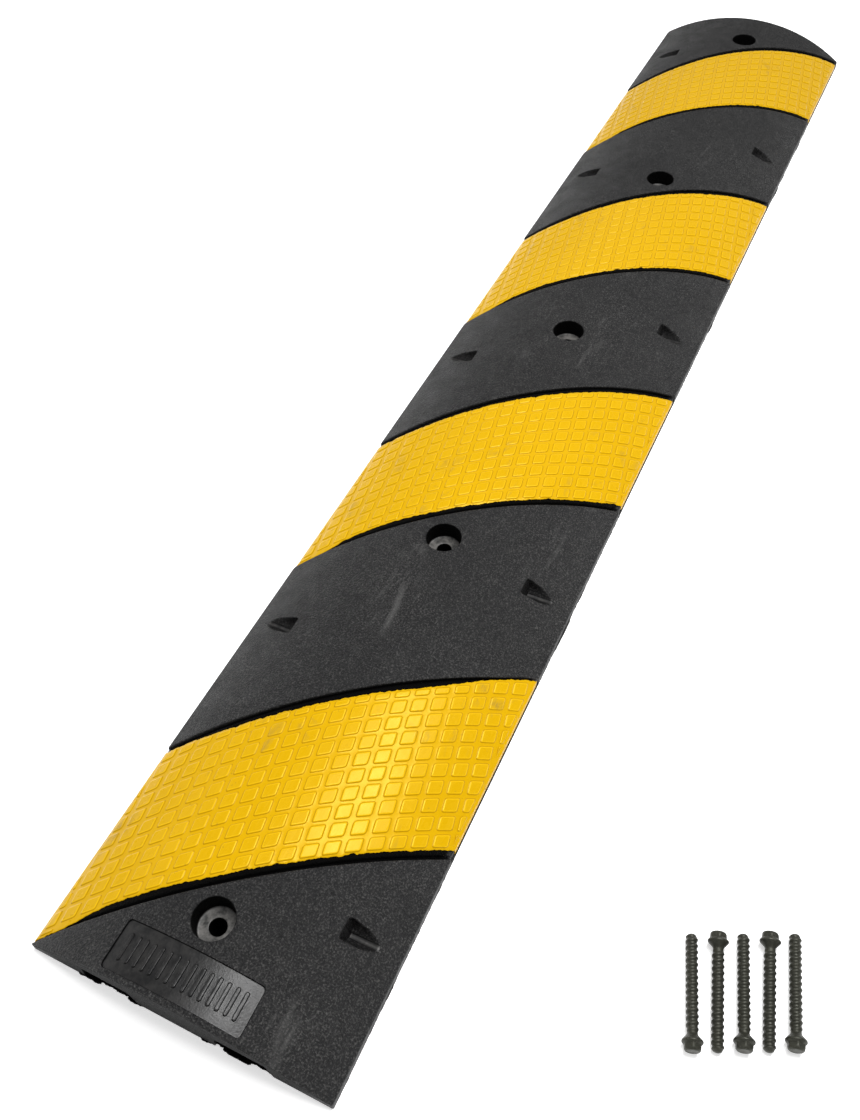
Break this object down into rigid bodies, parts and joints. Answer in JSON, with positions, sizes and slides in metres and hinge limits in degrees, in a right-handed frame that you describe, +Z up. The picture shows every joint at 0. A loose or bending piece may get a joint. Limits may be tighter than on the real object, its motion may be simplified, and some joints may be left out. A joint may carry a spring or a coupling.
{
  "type": "rubber speed bump",
  "caption": "Long low rubber speed bump with slanted yellow studded bands on a black body, counterbored for anchor screws, with its hex washer head screws lying beside it.",
  "frame": {"origin": "on the road surface, at the middle of the footprint of the whole set, bump and screws; the bump's own centre line is parallel to X at Y = +164.8 mm, and its middle is at X = 0", "axes": "+X along the bump, away from the end with the plate recess; +Z up from the road; the screws lie on the -Y side"},
  "size_m": [1.8288, 0.6344, 0.0571],
  "materials": {
    "black_rubber": "satin moulded recycled rubber with a fine pebble grain",
    "yellow_rubber": "satin pigmented rubber with raised studs",
    "coated_steel": "dull grey protective coating on steel"
  },
  "bodies": {
    "bump": {"rubber_body": "black_rubber", "yellow_stripe_1": "yellow_rubber", "yellow_stripe_2": "yellow_rubber", "yellow_stripe_3": "yellow_rubber", "yellow_stripe_4": "yellow_rubber"},
    "screw_1": {"anchor_screw_1": "coated_steel"},
    "screw_2": {"anchor_screw_2": "coated_steel"},
    "screw_3": {"anchor_screw_3": "coated_steel"},
    "screw_4": {"anchor_screw_4": "coated_steel"},
    "screw_5": {"anchor_screw_5": "coated_steel"}
  },
  "joints": [
    {"name": "screw_1_lift", "type": "slide", "parent": "bump", "child": "screw_1", "axis": [0, 0, 1], "range_m": [0, 0.12]},
    {"name": "screw_2_lift", "type": "slide", "parent": "bump", "child": "screw_2", "axis": [0, 0, 1], "range_m": [0, 0.12]},
    {"name": "screw_3_lift", "type": "slide", "parent": "bump", "child": "screw_3", "axis": [0, 0, 1], "range_m": [0, 0.12]},
    {"name": "screw_4_lift", "type": "slide", "parent": "bump", "child": "screw_4", "axis": [0, 0, 1], "range_m": [0, 0.12]},
    {"name": "screw_5_lift", "type": "slide", "parent": "bump", "child": "screw_5", "axis": [0, 0, 1], "range_m": [0, 0.12]}
  ]
}
